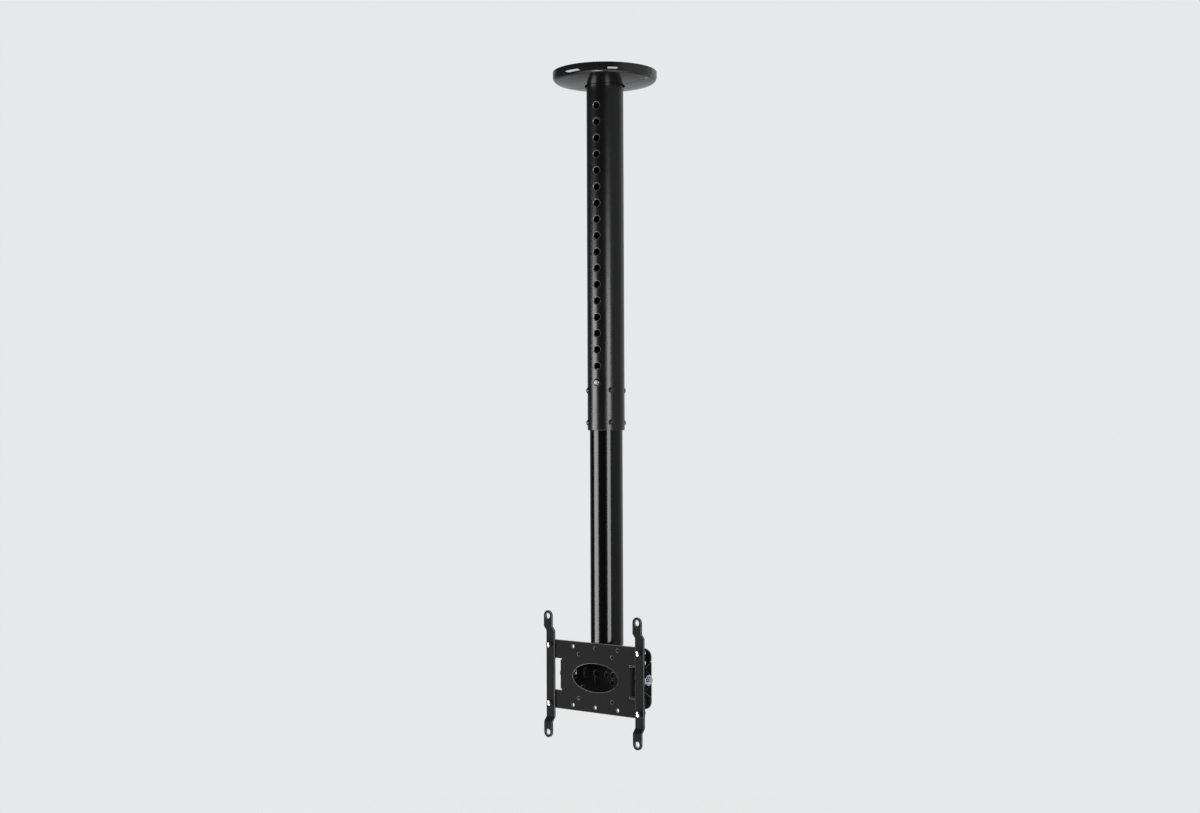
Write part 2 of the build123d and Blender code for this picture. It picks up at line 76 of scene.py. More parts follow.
# Fasteners: how finely each form is divided, and how far the corners of a hexagon are turned off
HEAD_SIDES = 48
DOME_SIDES = 72
DOME_RINGS = 80
CONE_SIDES = 64
NUT_BORE_SIDES = 32
WASHER_SIDES = 72
WASHER_BORE_SIDES = 48
THREAD_SIDES = 24
THREAD_ROWS_PER_TURN = 6.0
THREAD_LEAST_ROWS = 8.0
THREAD_END = 1e-4
TURNED_RADIUS = 0.485

# Finishes: grain cells per metre, how far the tone and the roughness drift with the grain
EVEN = (1.0, 1.0, 1.0)
ALONG_TUBE = (1.0, 1.0, 0.015)
ALONG_STRIP = (1.0, 1.0, 0.05)
GRAIN_RANGE = (0.3, 0.7)
GRAIN_DETAIL = 3.0
TEXTURE_DETAIL = 1.5
TUBE_POWDER = {"cells": 900.0, "strength": 0.12, "depth": 0.0002}
FINE_POWDER = {"cells": 1600.0, "strength": 0.2, "depth": 0.00015}
FINISHES = {
    "satin_powder_coat": {
        "tone": "tube_colour",
        "cells": 22.0,
        "spread": 0.18,
        "rough": (0.23, 0.28),
        "texture": TUBE_POWDER,
    },
    "matt_powder_coat": {
        "tone": "paint_colour",
        "cells": 30.0,
        "spread": 0.18,
        "rough": (0.44, 0.52),
        "gloss": 0.03,
        "texture": FINE_POWDER,
    },
    "dull_primer": {
        "tone": "primer_colour",
        "cells": 30.0,
        "spread": 0.18,
        "rough": (0.50, 0.58),
        "gloss": 0.04,
        "texture": FINE_POWDER,
    },
    # The edge finishes are lighter than the paint: paint worn thin, and a painted highlight along
    # the edges.
    "worn_edge_coat": {
        "tone": "worn_and_highlit_edge_colour",
        "cells": 220.0,
        "spread": 0.45,
        "rough": (0.32, 0.42),
    },
    "worn_primer": {
        "tone": "worn_and_highlit_edge_colour",
        "share": 0.35,
        "cells": 220.0,
        "spread": 0.45,
        "rough": (0.4, 0.5),
    },
    "gloss_lacquer": {
        "tone": "lacquer_colour",
        "cells": 260.0,
        "spread": 0.25,
        "rough": (0.12, 0.16),
        "stretch": ALONG_TUBE,
        "gloss": 0.42,
    },
    "gloss_plastic": {
        "tone": "cover_colour",
        "cells": 60.0,
        "spread": 0.18,
        "rough": (0.03, 0.05),
        "gloss": 0.8,
    },
    "black_oxide": {
        "tone": "oxide_colour",
        "cells": 400.0,
        "spread": 0.3,
        "rough": (0.2, 0.28),
    },
    "bright_zinc": {
        "tone": "zinc_colour",
        "cells": 180.0,
        "spread": 0.05,
        "rough": (0.05, 0.1),
        "metal": 1.0,
    },
    "dull_nickel": {
        "tone": "button_colour",
        "cells": 300.0,
        "spread": 0.1,
        "rough": (0.22, 0.28),
        "metal": 1.0,
    },
    "rolled_strip": {
        "tone": "strip_colour",
        "cells": 500.0,
        "spread": 0.15,
        "rough": (0.3, 0.4),
        "stretch": ALONG_STRIP,
        "metal": 1.0,
    },
    "natural_nylon": {
        "tone": "nylon_colour",
        "cells": 150.0,
        "spread": 0.04,
        "rough": (0.45, 0.55),
    },
}

# Rims of the outer tube painted lighter, worn paint and a painted highlight: how that fades off a
# slope of 45 degrees and above the foot
RIM_FADE = (0.1, 0.22)
FOOT_FADE = (0.003, 0.005)

# Studio walls: degrees to the right of the camera, and how they fade in degrees off their middle
WALL_TURN = 168.0
WALL_FADE = (20.0, 65.0)
SIDE_WALL_TURN = 88.0
SIDE_WALL_FADE = (35.0, 75.0)

# Floor: how far it is below the head, and how it fades in metres from the pole's axis
FLOOR_GAP = 0.32
FLOOR_RADIUS = 1.3
FLOOR_FADE = (0.5, 0.97 * FLOOR_RADIUS)
FLOOR_SIDES = 96
FLOOR_ROUGHNESS = 0.9

# Camera film in millimetres
FILM_WIDTH = 36.0

# Lamps: turns in degrees to the right of the camera, places and sizes in metres
SOFTBOX_DISTANCE = 2.2
SOFTBOX_HEIGHT = 1.45
SOFTBOX_DROP = 0.25
LEFT_TURN = -77.0
LEFT_WIDTH = 1.35
RIGHT_TURN = 17.0
RIGHT_WIDTH = 0.85
FILL_PLACE = (-0.08, -0.24)
FILL_RISE = 0.05
FILL_SIZE = 0.3
FILL_SPREAD = 90.0
HEAD_FRONT = -0.05
TOP_PLACE = (-0.5, 1.3, 1.2)
TOP_SIZE = 2.0


def length(name, description, default):
    """Property for a size in metres."""
    return bpy.props.FloatProperty(
        name=name, description=description, default=default, min=0.0, precision=5, unit="LENGTH"
    )


def shade_property(name, description, default):
    """Property for a colour."""
    return bpy.props.FloatVectorProperty(
        name=name, description=description, default=default, min=0.0, max=1.0, subtype="COLOR"
    )


def level(name, description, default):
    """Property for a brightness, where white paper is one."""
    return bpy.props.FloatProperty(name=name, description=description, default=default, min=0.0)


def turn(name, description, angle):
    """Property for an angle that is given in degrees."""
    return bpy.props.FloatProperty(
        name=name, description=description, default=radians(angle), subtype="ANGLE"
    )


class StageSettings(bpy.types.PropertyGroup):
    """Camera, lights and floor round the mount"""

    camera_azimuth: turn(
        "Camera azimuth", "Direction of the camera, from the plate's front to its right", 40.86
    )
    camera_distance: length("Camera distance", "Distance from the pole's axis to the camera", 2.937)
    camera_drop: length("Camera drop", "How far the camera is below the ceiling", 0.639)
    camera_turn: turn("Camera turn", "How far the camera looks past the pole to the left", 0.204)
    camera_roll: turn("Camera roll", "How far the camera leans to its right", 0.23)
    camera_pitch: turn("Camera pitch", "How far the camera looks up", 1.274)
    camera_lens: bpy.props.FloatProperty(
        name="Focal length",
        description="Focal length for a 36 mm wide film",
        default=51.47,
        subtype="DISTANCE_CAMERA",
    )
    backdrop_colour: shade_property(
        "Backdrop colour", "Plain colour behind the mount", (0.80, 0.81, 0.82)
    )
    floor_colour: shade_property("Floor colour", "Colour of the plain floor", (0.80, 0.80, 0.80))
    left_level: level("Left softbox", "Brightness of the tall softbox on the left", 8.0)
    right_level: level("Right softbox", "Brightness of the tall softbox on the right", 8.0)
    fill_level: level("Low fill", "Brightness of the low light in front of the head", 2.4)
    top_level: level("Top light", "Brightness of the wide light above the ceiling plate", 5.2)
    wall_level: level("Wall", "Brightness of the wall behind the mount", 0.5)
    side_level: level("Side wall", "Brightness of the wall on the right", 0.4)
    room_level: level("Room", "Brightness of the unlit side of the studio", 0.06)


class FinishSettings(bpy.types.PropertyGroup):
    """Colours of the mount's finishes"""

    paint_colour: shade_property(
        "Paint", "Black powder coat of the screen plate and arms", (0.0092, 0.0092, 0.0095)
    )
    tube_colour: shade_property(
        "Tube paint", "Black powder coat of the outer tube", (0.0036, 0.0037, 0.0039)
    )
    # Lighter edge tone: paint worn thin, and a painted highlight on the rounded edges and hole
    # rims.
    worn_and_highlit_edge_colour: shade_property("Worn edges", "Paint worn thin on edges", (0.115, 0.115, 0.117))
    primer_colour: shade_property(
        "Primer", "Dull black primer of the tilt yoke", (0.0042, 0.0043, 0.0046)
    )
    lacquer_colour: shade_property(
        "Lacquer", "Gloss black lacquer of the inner tube", (0.0012, 0.0012, 0.0014)
    )
    cover_colour: shade_property(
        "Cover", "Moulded plastic of the ceiling cover", (0.008, 0.008, 0.009)
    )
    oxide_colour: shade_property(
        "Black screws", "Black oxide of the socket screws", (0.008, 0.008, 0.0085)
    )
    zinc_colour: shade_property("Zinc", "Bright zinc plating of the fasteners", (0.76, 0.78, 0.82))
    button_colour: shade_property("Button", "Dull nickel of the snap button", (0.18, 0.177, 0.175))
    strip_colour: shade_property("Spring", "Rolled strip of the button spring", (0.42, 0.43, 0.46))
    nylon_colour: shade_property(
        "Nylon", "Natural nylon of the washers and spacers", (0.80, 0.79, 0.74)
    )


class FastenerSettings(bpy.types.PropertyGroup):
    """Sizes of the screws, bolts, nuts and washers, and of rounded edges"""

    socket_head: length("Socket head", "Diameter of the button heads on the pole", 0.0105)
    socket_height: length("Socket head height", "Height of the button heads", 0.0033)
    socket_rim: length("Socket head rim", "Straight side under the dome of a button head", 0.0007)
    socket_across: length("Hex socket", "Size of the hexagon key", 0.004)
    socket_depth: length("Hex socket depth", "Depth of the hexagon socket", 0.002)
    socket_shank: length("Socket shank", "Outside of the thread of the pole screws", 0.0059)
    socket_pitch: length("Socket pitch", "Thread pitch of the pole screws", 0.001)
    pan_head: length("Pan head", "Diameter of the heads of the arm screws", 0.009)
    pan_height: length("Pan head height", "Height of the heads of the arm screws", 0.007)
    pan_rim: length("Pan head rim", "Straight side of the heads of the arm screws", 0.0058)
    recess_length: length("Cross recess", "Length of the cross recess", 0.0052)
    recess_width: length("Cross width", "Width of the cross recess", 0.0012)
    recess_depth: length("Cross depth", "Depth of the cross recess", 0.0018)
    arm_shank: length("Arm shank", "Outside of the thread of the arm screws", 0.006)
    arm_pitch: length("Arm pitch", "Thread pitch of the arm screws", 0.001)
    arm_nut: length("Arm nut", "Width across the flats of the arm nuts", 0.010)
    pivot_across: length("Pivot hexagon", "Width across flats of the pivot bolts and nuts", 0.013)
    pivot_height: length("Pivot head height", "Height of the heads of the pivot bolts", 0.0053)
    pivot_shank: length("Pivot shank", "Outside of the thread of the pivot bolts", 0.008)
    pivot_pitch: length("Pivot pitch", "Thread pitch of the pivot bolts", 0.00125)
    lock_across: length("Lock hexagon", "Width across the flats of the lock bolts and nuts", 0.010)
    lock_height: length("Lock head height", "Height of the heads of the lock bolts", 0.0042)
    lock_shank: length("Lock shank", "Outside of the thread of the lock bolts", 0.006)
    lock_pitch: length("Lock pitch", "Thread pitch of the lock bolts", 0.001)
    lock_washer: length("Lock washer", "Diameter of the washers under the lock bolts", 0.018)
    lock_bore: length("Lock washer bore", "Bore of the washers under the lock bolts", 0.0064)
    swivel_across: length("Swivel hexagon", "Width across the flats of the swivel bolt", 0.019)
    swivel_height: length("Swivel head height", "Height of the head of the swivel bolt", 0.0075)
    swivel_shank: length("Swivel shank", "Outside of the thread of the swivel bolt", 0.0119)
    swivel_pitch: length("Swivel pitch", "Thread pitch of the swivel bolt", 0.00175)
    nut_play: length("Nut play", "How much wider the bore of a nut is than its thread", 0.0001)
    fastener_edge: length("Fastener edge", "Rounding of the edges of the fasteners", 0.00012)
    sheet_edge: length("Sheet edge", "Rounding of the edges of the folded sheets", 0.00055)


class NodeNet:
    """A node tree with a short way to add and link nodes."""

    def __init__(self, tree):
        self.tree = tree

    def add(self, kind, settings=None, **inputs):
        """Add a node; inputs are named by socket, spaces as underscores, or by number as in_0."""
        node = self.tree.nodes.new(kind)
        for name, value in (settings or {}).items():
            setattr(node, name, value)
        for name, value in inputs.items():
            place = int(name[3:]) if name.startswith("in_") else name.replace("_", " ")
            self.feed(node.inputs[place], value)
        return node

    def feed(self, socket, value):
        """Link an output to a socket, or set the socket's own value."""
        if isinstance(value, bpy.types.NodeSocket):
            self.tree.links.new(value, socket)
        else:
            socket.default_value = value

    def math(self, operation, first, second=0.0):
        """Result of one sum on two numbers."""
        node = self.add("ShaderNodeMath", {"operation": operation}, in_0=first, in_1=second)
        return node.outputs[0]

    def vector_math(self, operation, first, **second):
        """Node for one sum on vectors."""
        return self.add("ShaderNodeVectorMath", {"operation": operation}, in_0=first, **second)

    def map_range(self, value, low, high, to_low, to_high, smooth=False):
        """A number brought from one range to another and held inside it."""
        kind = "SMOOTHSTEP" if smooth else "LINEAR"
        node = self.add("ShaderNodeMapRange", {"interpolation_type": kind})
        for socket, number in zip(node.inputs, (value, low, high, to_low, to_high)):
            self.feed(socket, number)
        return node.outputs[0]


def colour(value):
    """Colour with full alpha."""
    return (value[0], value[1], value[2], 1.0)


def shade(value, factor):
    """A colour made lighter or darker."""
    return tuple(part * factor for part in value)


def finish(name):
    """New material with its shader and Object coordinates."""
    material = bpy.data.materials.new(name)
    material.use_nodes = True
    net = NodeNet(material.node_tree)
    shader = material.node_tree.nodes["Principled BSDF"]
    place = net.add("ShaderNodeTexCoord").outputs["Object"]
    return material, net, shader, place


def grain(net, place, scale, stretch, detail):
    """Noise whose cells are 1 / scale metres wide, drawn out along an axis."""
    spread = net.add("ShaderNodeMapping", Vector=place)
    spread.inputs["Scale"].default_value = stretch
    noise = net.add("ShaderNodeTexNoise", Vector=spread.outputs[0], Scale=scale, Detail=detail)
    return noise.outputs["Fac"]


def tint(net, factor, dark, light):
    """Colour that runs between two with a factor."""
    mix = net.add("ShaderNodeMix", {"data_type": "RGBA"})
    net.feed(mix.inputs["Factor"], factor)
    net.feed(mix.inputs["A"], dark)
    net.feed(mix.inputs["B"], light)
    return mix.outputs["Result"]


def coat(name, base, cells, spread, rough, stretch=EVEN, metal=0.0, gloss=0.5, texture=None):
    """Finish whose colour and roughness drift with a grain, with or without a raised texture."""
    material, net, shader, place = finish(name)
    cloud = grain(net, place, cells, stretch, GRAIN_DETAIL)
    dark, light = (colour(shade(base, factor)) for factor in (1 - spread, 1 + spread))
    net.feed(shader.inputs["Base Color"], tint(net, cloud, dark, light))
    net.feed(shader.inputs["Roughness"], net.map_range(cloud, *GRAIN_RANGE, *rough))
    shader.inputs["Metallic"].default_value = metal
    shader.inputs["Specular IOR Level"].default_value = gloss
    if texture:
        height = grain(net, place, texture["cells"], stretch, TEXTURE_DETAIL)
        bump = net.add(
            "ShaderNodeBump", Strength=texture["strength"], Distance=texture["depth"], Height=height
        )
        net.feed(shader.inputs["Normal"], bump.outputs[0])
    return material


def bare_and_highlit_rims(material, rim_wear_and_highlight_colour, foot):
    """Paint slopes of about 45 degrees off an upright tube lighter, above its foot: paint worn thin
    and a painted highlight.
    """
    net = NodeNet(material.node_tree)
    shader = material.node_tree.nodes["Principled BSDF"]
    spot = net.add("ShaderNodeTexCoord").outputs
    flat = net.vector_math("MULTIPLY", spot["Object"], in_1=(1, 1, 0)).outputs[0]
    outward = net.vector_math("NORMALIZE", flat).outputs[0]
    lean = net.vector_math("DOT_PRODUCT", spot["Normal"], in_1=outward).outputs["Value"]
    off = net.math("ABSOLUTE", net.math("SUBTRACT", lean, cos(pi / 4)))
    on_rim = net.map_range(off, *RIM_FADE, 1.0, 0.0)
    height = net.add("ShaderNodeSeparateXYZ", Vector=spot["Object"]).outputs["Z"]
    above = net.map_range(height, foot + FOOT_FADE[0], foot + FOOT_FADE[1], 0.0, 1.0)
    paint_tone = shader.inputs["Base Color"].links[0].from_socket
    # The hole rims get the lighter edge tone: worn paint, and a painted highlight on every rim.
    worn = tint(net, net.math("MULTIPLY", on_rim, above), paint_tone, colour(rim_wear_and_highlight_colour))
    net.feed(shader.inputs["Base Color"], worn)


def make_finish(name):
    """Make one of the mount's finishes."""
    tones = bpy.context.scene.mount_finish
    recipe = dict(FINISHES[name])
    tone = getattr(tones, recipe.pop("tone"))
    material = coat(name, shade(tone, recipe.pop("share", 1.0)), **recipe)
    if name == "satin_powder_coat":
        bare_and_highlit_rims(material, tones.worn_and_highlit_edge_colour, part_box("outer_tube")[0].z)
    return material


def paint(name):
    """One of the mount's finishes, made when it is first asked for."""
    return bpy.data.materials.get(name) or make_finish(name)


def dress(finish_name, *nodes):
    """Give CAD nodes a finish."""
    for node in nodes:
        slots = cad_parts[node].data.materials
        slots.clear()
        slots.append(paint(finish_name))


def merged(node):
    """Editable copy of a CAD node's mesh with its loose triangles joined."""
    shape = bmesh.new()
    shape.from_mesh(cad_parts[node].data)
    bmesh.ops.remove_doubles(shape, verts=shape.verts, dist=MERGE)
    return shape


def separate_solids(node):
    """Points of each separate solid in a CAD node."""
    shape = merged(node)
    waiting = dict.fromkeys(shape.verts)
    solids = []
    while waiting:
        reached = [waiting.popitem()[0]]
        for point in reached:
            for edge in point.link_edges:
                other = edge.other_vert(point)
                if other in waiting:
                    del waiting[other]
                    reached.append(other)
        solids.append([point.co.copy() for point in reached])
    shape.free()
    return solids


def away_from_pole(centre):
    """Arrow from the pole's axis to a point."""
    return Vector((centre.x, centre.y, 0)).normalized()


def to_the_side(centre):
    """Arrow out of the nearer side of the head."""
    return Vector((1 if centre.x > 0 else -1, 0, 0))


def to_the_front(centre):
    """Arrow out of the front of the screen plate."""
    return Vector((0, -1, 0))


def to_the_back(centre):
    """Arrow out of the back of the screen plate."""
    return Vector((0, 1, 0))


def downwards(centre):
    """Arrow to the floor."""
    return Vector((0, 0, -1))


def find_seats(node, arrow_at, head):
    """Seat and arrow of each fastener in a CAD node, and how far it reaches below its seat."""
    seats = []
    below = 0.0
    for points in separate_solids(node):
        centre = sum(points, Vector()) / len(points)
        arrow = arrow_at(centre)
        along = [point.dot(arrow) for point in points]
        on_axis = centre - arrow * centre.dot(arrow)
        seat = max(along) - head
        below = seat - min(along)
        seats.append((on_axis + arrow * seat, arrow))
    return seats, below


def new_tree(name, sizes, with_seats=True):
    """New geometry tree: seats, named sizes and a finish come in, a mesh goes out."""
    tree = bpy.data.node_groups.new(name, "GeometryNodeTree")
    if with_seats:
        tree.interface.new_socket("Seats", in_out="INPUT", socket_type="NodeSocketGeometry")
        tree.interface.new_socket("Finish", in_out="INPUT", socket_type="NodeSocketMaterial")
    for label in sizes:
        socket = tree.interface.new_socket(label, in_out="INPUT", socket_type="NodeSocketFloat")
        socket.subtype = "DISTANCE"
    tree.interface.new_socket("Mesh", in_out="OUTPUT", socket_type="NodeSocketGeometry")
    net = NodeNet(tree)
    return net, net.add("NodeGroupInput").outputs


def shift(net, mesh, rise):
    """A mesh moved along its axis."""
    place = net.add("ShaderNodeCombineXYZ", Z=rise).outputs[0]
    return net.add("GeometryNodeTransform", Geometry=mesh, Translation=place).outputs[0]


def prism(net, corners, radius, low, high):
    """Upright prism or round bar between two heights."""
    depth = net.math("SUBTRACT", high, low)
    bar = net.add("GeometryNodeMeshCylinder", Vertices=corners, Radius=radius, Depth=depth)
    middle = net.math("MULTIPLY", net.math("ADD", low, high), 0.5)
    return shift(net, bar.outputs["Mesh"], middle)


def overlap(net, *solids):
    """What several solids share."""
    settings = {"operation": "INTERSECT", "solver": "EXACT"}
    node = net.add("GeometryNodeMeshBoolean", settings)
    for solid in solids:
        net.feed(node.inputs["Mesh 2"], solid)
    return node.outputs["Mesh"]


def cut(net, solid, *tools):
    """A solid with others taken out of it."""
    settings = {"operation": "DIFFERENCE", "solver": "EXACT"}
    node = net.add("GeometryNodeMeshBoolean", settings, Mesh_1=solid)
    for tool in tools:
        net.feed(node.inputs["Mesh 2"], tool)
    return node.outputs["Mesh"]


def join(net, *meshes):
    """Several meshes as one."""
    node = net.add("GeometryNodeJoinGeometry")
    for mesh in meshes:
        net.feed(node.inputs[0], mesh)
    return node.outputs[0]


def across_corners(net, across):
    """Corner radius of a hexagon from its width across the flats."""
    return net.math("MULTIPLY", across, 1 / sqrt(3))


def half(net, size):
    """Half of a size."""
    return net.math("MULTIPLY", size, 0.5)


def twice(net, size):
    """Twice a size."""
    return net.math("MULTIPLY", size, 2.0)


def domed_head(net, source):
    """Round head with a dome on top of a straight rim."""
    radius = half(net, source["Head"])
    body = prism(net, HEAD_SIDES, radius, 0.0, source["Height"])
    rise = net.math("SUBTRACT", source["Height"], source["Rim"])
    squares = net.math("ADD", *(net.math("MULTIPLY", size, size) for size in (radius, rise)))
    ball_radius = net.math("DIVIDE", squares, twice(net, rise))
    ball = net.add(
        "GeometryNodeMeshUVSphere", Segments=DOME_SIDES, Rings=DOME_RINGS, Radius=ball_radius
    )
    lift = net.math("SUBTRACT", source["Height"], ball_radius)
    return overlap(net, body, shift(net, ball.outputs["Mesh"], lift))


def through_hole(net, source, sides):
    """Round bar through the whole height of a nut or washer."""
    margin = twice(net, source["Height"])
    below = net.math("MULTIPLY", margin, -1.0)
    return prism(net, sides, half(net, source["Bore"]), below, margin)


def hex_body(net, source):
    """Hexagon with its corners turned off at both ends."""
    block = prism(net, 6, across_corners(net, source["Across"]), 0.0, source["Height"])
    narrow = net.math("MULTIPLY", source["Across"], TURNED_RADIUS)
    wide = net.math("ADD", narrow, net.math("MULTIPLY", source["Height"], sqrt(3)))
    sizes = {"Vertices": CONE_SIDES, "Depth": source["Height"]}
    top = net.add("GeometryNodeMeshCone", Radius_Top=narrow, Radius_Bottom=wide, **sizes)
    foot = net.add("GeometryNodeMeshCone", Radius_Top=wide, Radius_Bottom=narrow, **sizes)
    return overlap(net, block, top.outputs["Mesh"], foot.outputs["Mesh"])


def threaded_shank():
    """Tree of a threaded rod below its seat, closed at its tip and inside the head."""
    found = bpy.data.node_groups.get("threaded_shank")
    if found:
        return found
    net, source = new_tree("threaded_shank", ("Shank", "Length", "Pitch"), with_seats=False)
    turns = net.math("DIVIDE", source["Length"], source["Pitch"])
    wanted = net.math("CEIL", net.math("MULTIPLY", turns, THREAD_ROWS_PER_TURN))
    grid = net.add(
        "GeometryNodeMeshGrid",
        Size_X=1.0,
        Size_Y=1.0,
        Vertices_X=THREAD_SIDES + 1,
        Vertices_Y=net.math("MAXIMUM", wanted, THREAD_LEAST_ROWS),
    )
    position = net.add("GeometryNodeInputPosition").outputs[0]
    spot = net.add("ShaderNodeSeparateXYZ", Vector=position).outputs
    angle = net.math("MULTIPLY", spot["X"], -2 * pi)
    along = net.math("ADD", spot["Y"], 0.5)
    depth = net.math("MULTIPLY", along, source["Length"])
    phase = net.math("SUBTRACT", net.math("DIVIDE", depth, source["Pitch"]), spot["X"])
    groove = net.math("MULTIPLY", net.math("PINGPONG", phase, 0.5), source["Pitch"])
    started = net.math("GREATER_THAN", along, THREAD_END)
    unended = net.math("LESS_THAN", along, 1 - THREAD_END)
    inside = net.math("MULTIPLY", started, unended)
    crest = half(net, source["Shank"])
    radius = net.math("MULTIPLY", net.math("SUBTRACT", crest, groove), inside)
    place = net.add(
        "ShaderNodeCombineXYZ",
        X=net.math("MULTIPLY", radius, net.math("COSINE", angle)),
        Y=net.math("MULTIPLY", radius, net.math("SINE", angle)),
        Z=net.math("MULTIPLY", depth, -1.0),
    )
    wound = net.add(
        "GeometryNodeSetPosition", Geometry=grid.outputs["Mesh"], Position=place.outputs[0]
    )
    closed = net.add("GeometryNodeMergeByDistance", Geometry=wound.outputs[0], Distance=MERGE)
    net.feed(net.add("NodeGroupOutput").inputs["Mesh"], closed.outputs[0])
    return net.tree


def with_shank(net, source, head):
    """A head with its threaded shank below it."""
    shank = net.add(
        "GeometryNodeGroup",
        {"node_tree": threaded_shank()},
        Shank=source["Shank"],
        Length=source["Length"],
        Pitch=source["Pitch"],
    )
    return join(net, head, shank.outputs[0])


def plant(net, source, solid):
    """Put one solid on every seat, its axis along the seat's arrow, and end the tree."""
    angle = net.add("GeometryNodeInputMeshEdgeAngle").outputs["Unsigned Angle"]
    smooth = net.add(
        "GeometryNodeSetShadeSmooth", {"domain": "FACE"}, Geometry=solid, Shade_Smooth=True
    )
    creased = net.add(
        "GeometryNodeSetShadeSmooth",
        {"domain": "EDGE"},
        Geometry=smooth.outputs[0],
        Selection=net.math("GREATER_THAN", angle, SHARP_ANGLE),
        Shade_Smooth=False,
    )
    arrow = net.add(
        "GeometryNodeInputNamedAttribute", {"data_type": "FLOAT_VECTOR"}, Name="outward"
    ).outputs["Attribute"]
    pose = net.add("FunctionNodeAlignRotationToVector", {"axis": "Z"}, Vector=arrow)
    copies = net.add(
        "GeometryNodeInstanceOnPoints",
        Points=source["Seats"],
        Instance=creased.outputs[0],
        Rotation=pose.outputs[0],
    )
    real = net.add("GeometryNodeRealizeInstances", Geometry=copies.outputs[0]).outputs[0]
    painted = net.add("GeometryNodeSetMaterial", Geometry=real, Material=source["Finish"])
    net.feed(net.add("NodeGroupOutput").inputs["Mesh"], painted.outputs[0])
    return net.tree


def socket_screw_tree():
    """Button-head screws with a hexagon socket."""
    sizes = ("Head", "Height", "Rim", "Across", "Depth", "Shank", "Length", "Pitch")
    net, source = new_tree("socket_screw", sizes)
    head = domed_head(net, source)
    foot = net.math("SUBTRACT", source["Height"], source["Depth"])
    top = twice(net, source["Height"])
    key = prism(net, 6, across_corners(net, source["Across"]), foot, top)
    return plant(net, source, with_shank(net, source, cut(net, head, key)))


def cross_screw_tree():
    """Pan-head screws with a cross recess."""
    sizes = ("Head", "Height", "Rim", "Recess", "Width", "Depth", "Shank", "Length", "Pitch")
    net, source = new_tree("cross_screw", sizes)
    head = domed_head(net, source)
    tall = twice(net, source["Depth"])
    bars = []
    for wide, deep in (("Recess", "Width"), ("Width", "Recess")):
        size = net.add("ShaderNodeCombineXYZ", X=source[wide], Y=source[deep], Z=tall)
        bar = net.add("GeometryNodeMeshCube", Size=size.outputs[0])
        bars.append(shift(net, bar.outputs["Mesh"], source["Height"]))
    return plant(net, source, with_shank(net, source, cut(net, head, *bars)))


def hex_bolt_tree():
    """Hexagon bolts."""
    net, source = new_tree("hex_bolt", ("Across", "Height", "Shank", "Length", "Pitch"))
    return plant(net, source, with_shank(net, source, hex_body(net, source)))


def hex_nut_tree():
    """Hexagon nuts."""
    net, source = new_tree("hex_nut", ("Across", "Height", "Bore"))
    bore = through_hole(net, source, NUT_BORE_SIDES)
    return plant(net, source, cut(net, hex_body(net, source), bore))


def washer_tree():
    """Flat washers."""
    net, source = new_tree("flat_washer", ("Outside", "Height", "Bore"))
    body = prism(net, WASHER_SIDES, half(net, source["Outside"]), 0.0, source["Height"])
    return plant(net, source, cut(net, body, through_hole(net, source, WASHER_BORE_SIDES)))


TREES = {
    "socket_screw": socket_screw_tree,
    "cross_screw": cross_screw_tree,
    "hex_bolt": hex_bolt_tree,
    "hex_nut": hex_nut_tree,
    "flat_washer": washer_tree,
}


def bake(holder):
    """Turn an object with modifiers into one plain mesh."""
    draft = holder.data
    evaluated = holder.evaluated_get(bpy.context.evaluated_depsgraph_get())
    solid = bpy.data.meshes.new_from_object(evaluated)
    holder.modifiers.clear()
    holder.data = solid
    solid.name = holder.name
    bpy.data.meshes.remove(draft)
    if not solid.polygons:
        raise RuntimeError(holder.name + " came out empty")


def round_edges(holder, width, edge_slot=-1):
    """Round the sharp edges of an object with a narrow bevel."""
    edges = holder.modifiers.new("edges", "BEVEL")
    edges.width = width
    edges.segments = BEVEL_STEPS
    edges.limit_method = "ANGLE"
    edges.angle_limit = SHARP_ANGLE
    edges.harden_normals = True
    edges.use_clamp_overlap = edge_slot < 0
    edges.material = edge_slot


def show(name, mesh):
    """New object in the scene."""
    holder = bpy.data.objects.new(name, mesh)
    bpy.context.scene.collection.objects.link(holder)
    return holder


def fasteners(name, tree_name, node, arrow_at, sizes, finish_name, body, head=None):
    """Put fasteners of one kind on the seats that a CAD node gives, in place of that node."""
    seats, below = find_seats(node, arrow_at, head or 0.0)
    if head is None:
        seats = [(seat - arrow * below, arrow) for seat, arrow in seats]
        sizes = {"Height": below, **sizes}
    else:
        sizes = {"Height": head, "Length": below, **sizes}
    draft = bpy.data.meshes.new(name + "_seats")
    draft.from_pydata([seat for seat, arrow in seats], [], [])
    outward = draft.attributes.new("outward", "FLOAT_VECTOR", "POINT")
    for mark, (seat, arrow) in zip(outward.data, seats):
        mark.vector = arrow
    holder = show(name, draft)
    tree = bpy.data.node_groups.get(tree_name) or TREES[tree_name]()
    grow = holder.modifiers.new("grow", "NODES")
    grow.node_group = tree
    values = {"Finish": paint(finish_name), **sizes}
    for item in tree.interface.items_tree:
        if item.in_out == "INPUT" and item.name in values:
            grow[item.identifier] = values[item.name]
    round_edges(holder, bpy.context.scene.mount_fasteners.fastener_edge)
    bake(holder)
    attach(holder, body)
    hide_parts(node)


def area_of(faces):
    """Area of several faces together."""
    return sum(face.calc_area() for face in faces)


def patches(faces, bend):
    """Groups of faces that meet at less than a given angle, smallest group first."""
    waiting = dict.fromkeys(faces)
    groups = []
    while waiting:
        reached = [waiting.popitem()[0]]
        for face in reached:
            for edge in face.edges:
                if edge.calc_face_angle(pi) < bend:
                    beside = [other for other in edge.link_faces if other in waiting]
                    for other in beside:
                        del waiting[other]
                    reached.extend(beside)
        groups.append(reached)
    return sorted(groups, key=area_of)


